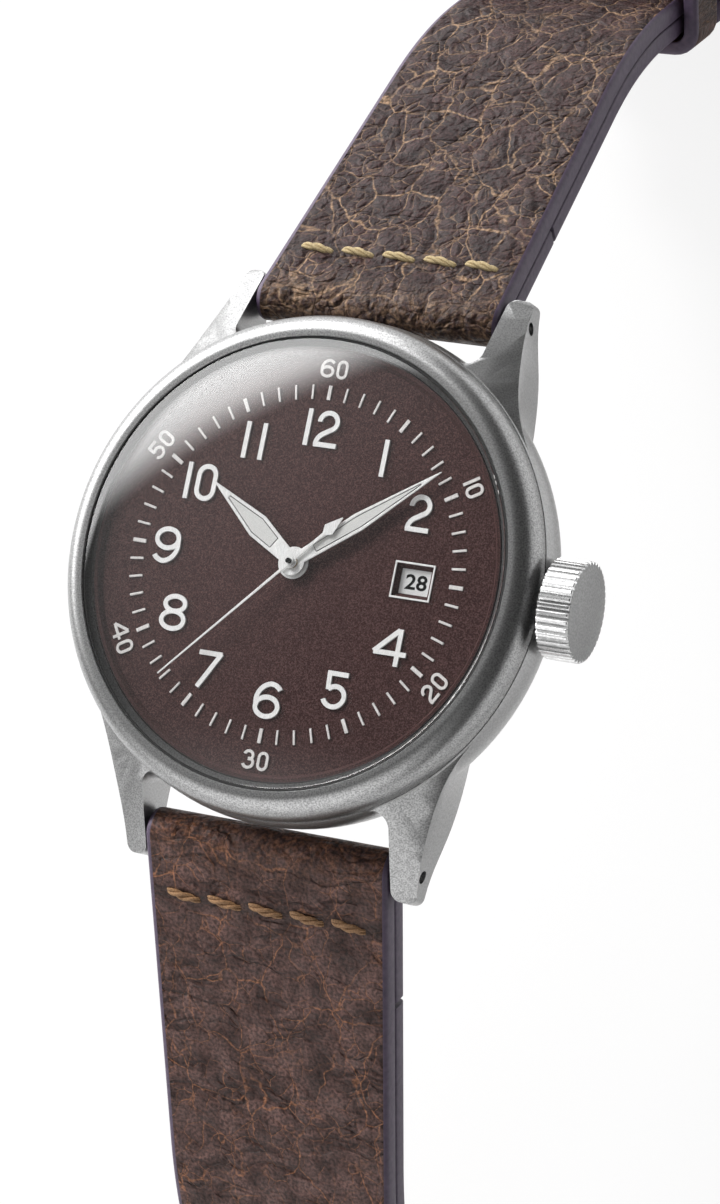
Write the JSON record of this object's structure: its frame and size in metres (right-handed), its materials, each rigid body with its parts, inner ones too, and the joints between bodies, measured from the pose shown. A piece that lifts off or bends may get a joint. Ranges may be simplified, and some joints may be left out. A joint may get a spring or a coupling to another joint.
{
  "type": "wristwatch",
  "caption": "Three-hand field watch with a date window, domed crystal and two-piece leather strap laid open in an arch.",
  "frame": {"origin": "centre of the caseback's flat outer face", "axes": "+Z out through the dial and crystal, +Y towards twelve o'clock along the strap, +X towards the crown"},
  "size_m": [0.0417, 0.2082, 0.0524],
  "materials": {
    "case_steel": "satin",
    "bezel_steel": "bead-blasted",
    "back_steel": "fine satin",
    "crown_steel": "bead-blasted",
    "bar_steel": "bright",
    "buckle_steel": "bead-blasted",
    "crystal_glass": "polished",
    "gasket_rubber": "matt",
    "flange_paint": "matt",
    "dial_paint": "matt with a fine metallic grain",
    "figure_metal": "satin",
    "hand_metal": "brushed",
    "lume": "matt",
    "date_paint": "satin, printed with black figures",
    "movement_brass": "fine grained",
    "bridge_plate": "striped satin",
    "wheel_brass": "polished",
    "movement_steel": "polished",
    "weight_metal": "satin",
    "spring_steel": "blued",
    "jewel": "polished",
    "ring_plastic": "matt",
    "strap_leather": "waxed, crackled, worn lighter at the folds",
    "lining_leather": "smooth",
    "keeper_leather": "waxed",
    "thread": "twisted waxed thread"
  },
  "bodies": {
    "case": {"middle_case": "case_steel", "bezel": "bezel_steel", "crystal": "crystal_glass", "crystal_gasket": "gasket_rubber", "flange_ring": "flange_paint", "dial": "dial_paint", "hour_numerals": "figure_metal", "minute_numerals": "figure_metal", "minute_markers": "figure_metal", "date_window_frame": "figure_metal", "mainplate": "movement_brass", "train_bridge": "bridge_plate", "balance_cock": "bridge_plate", "jewels": "jewel", "movement_screws": "movement_steel", "movement_ring": "ring_plastic", "rotor_axle": "movement_steel", "crown_tube": "bar_steel", "caseback": "back_steel", "caseback_gasket": "gasket_rubber", "spring_bar_upper": "bar_steel", "spring_bar_lower": "bar_steel"},
    "seconds": {"seconds_hand": "hand_metal", "fourth_wheel": "wheel_brass"},
    "minutes": {"minute_hand": "hand_metal", "minute_hand_lume": "lume", "cannon_pinion": "movement_steel", "centre_wheel": "wheel_brass"},
    "hours": {"hour_hand": "hand_metal", "hour_hand_lume": "lume", "hour_wheel": "wheel_brass"},
    "motion_work": {"minute_wheel": "wheel_brass"},
    "third": {"third_wheel": "wheel_brass"},
    "escape": {"escape_wheel": "movement_steel"},
    "barrel": {"mainspring_barrel": "wheel_brass", "mainspring": "spring_steel"},
    "date": {"date_disc": "date_paint"},
    "clutch": {"clutch_wheel": "movement_steel"},
    "crown": {"crown": "crown_steel", "crown_gasket": "gasket_rubber", "winding_stem": "movement_steel"},
    "ratchet": {"ratchet_wheel": "movement_steel"},
    "rotor": {"rotor": "bridge_plate", "rotor_weight": "weight_metal"},
    "balance": {"balance_wheel": "wheel_brass", "hairspring": "spring_steel"},
    "pallets": {"pallet_fork": "movement_steel"},
    "strap_upper": {"upper_leather": "strap_leather", "upper_lining": "lining_leather", "upper_stitches": "thread", "fixed_keeper": "keeper_leather"},
    "strap_lower": {"lower_leather": "strap_leather", "lower_lining": "lining_leather", "lower_stitches": "thread"},
    "free_keeper": {"free_keeper": "keeper_leather"},
    "buckle": {"buckle_frame": "buckle_steel", "buckle_bar": "bar_steel"},
    "tongue": {"buckle_tongue": "buckle_steel"}
  },
  "joints": [
    {"name": "seconds_hand_turn", "type": "hinge", "parent": "case", "child": "seconds", "pos_m": [0, 0, 0.0088], "axis": [0, 0, -1], "continuous": true},
    {"name": "minute_hand_turn", "type": "hinge", "parent": "case", "child": "minutes", "pos_m": [0, 0, 0.0085], "axis": [0, 0, -1], "continuous": true},
    {"name": "hour_hand_turn", "type": "hinge", "parent": "case", "child": "hours", "pos_m": [0, 0, 0.00827], "axis": [0, 0, -1], "continuous": true},
    {"name": "motion_work_turn", "type": "hinge", "parent": "case", "child": "motion_work", "pos_m": [0, -0.0024, 0.0068], "axis": [0, 0, -1], "continuous": true},
    {"name": "third_wheel_turn", "type": "hinge", "parent": "case", "child": "third", "pos_m": [-0.0039, 0.00225, 0.00433], "axis": [0, 0, -1], "continuous": true},
    {"name": "escape_wheel_turn", "type": "hinge", "parent": "case", "child": "escape", "pos_m": [-0.00216, -0.00374, 0.00433], "axis": [0, 0, -1], "continuous": true},
    {"name": "barrel_turn", "type": "hinge", "parent": "case", "child": "barrel", "pos_m": [0.00312, 0.0054, 0.0056], "axis": [0, 0, -1], "continuous": true},
    {"name": "date_disc_turn", "type": "hinge", "parent": "case", "child": "date", "pos_m": [0, 0, 0.00745], "axis": [0, 0, -1], "continuous": true},
    {"name": "crown_turn", "type": "hinge", "parent": "case", "child": "clutch", "pos_m": [0.0089, 0, 0.0054], "axis": [1, 0, 0], "continuous": true},
    {"name": "crown_pull", "type": "slide", "parent": "clutch", "child": "crown", "axis": [1, 0, 0], "range_m": [0, 0.0009]},
    {"name": "ratchet_turn", "type": "hinge", "parent": "case", "child": "ratchet", "pos_m": [0.00312, 0.0054, 0.0027], "axis": [0, 0, -1], "continuous": true},
    {"name": "rotor_turn", "type": "hinge", "parent": "case", "child": "rotor", "pos_m": [0, 0, 0.0023], "axis": [0, 0, -1], "continuous": true},
    {"name": "balance_swing", "type": "hinge", "parent": "case", "child": "balance", "pos_m": [0.00215, -0.00802, 0.004], "axis": [0, 0, -1], "range_deg": [-150, 150], "stiffness_Nm_per_rad": 0.0000002},
    {"name": "pallet_swing", "type": "hinge", "parent": "case", "child": "pallets", "pos_m": [-0.00052, -0.00537, 0.0045], "axis": [0, 0, -1], "range_deg": [-4, 4]},
    {"name": "strap_upper_hinge", "type": "hinge", "parent": "case", "child": "strap_upper", "pos_m": [0, 0.0208, 0.00225], "axis": [1, 0, 0], "range_deg": [-65, 80]},
    {"name": "strap_lower_hinge", "type": "hinge", "parent": "case", "child": "strap_lower", "pos_m": [0, -0.0208, 0.00225], "axis": [-1, 0, 0], "range_deg": [-65, 80]},
    {"name": "free_keeper_slide", "type": "slide", "parent": "strap_upper", "child": "free_keeper", "axis": [0, 0.5592, -0.829], "range_m": [-0.002, 0.002]},
    {"name": "buckle_turn", "type": "hinge", "parent": "strap_upper", "child": "buckle", "pos_m": [0, 0.07873, -0.03942], "axis": [1, 0, 0], "range_deg": [-60, 100]},
    {"name": "tongue_turn", "type": "hinge", "parent": "buckle", "child": "tongue", "pos_m": [0, 0.07873, -0.03942], "axis": [1, 0, 0], "range_deg": [0, 100]}
  ],
  "couplings": [
    {"joint": "seconds_hand_turn", "follows": "minute_hand_turn", "ratio": 60},
    {"joint": "hour_hand_turn", "follows": "minute_hand_turn", "ratio": 0.083333},
    {"joint": "motion_work_turn", "follows": "minute_hand_turn", "ratio": -0.33333},
    {"joint": "third_wheel_turn", "follows": "minute_hand_turn", "ratio": -8},
    {"joint": "escape_wheel_turn", "follows": "minute_hand_turn", "ratio": -720},
    {"joint": "barrel_turn", "follows": "minute_hand_turn", "ratio": -0.14286},
    {"joint": "ratchet_turn", "follows": "crown_turn", "ratio": 0.33333}
  ]
}
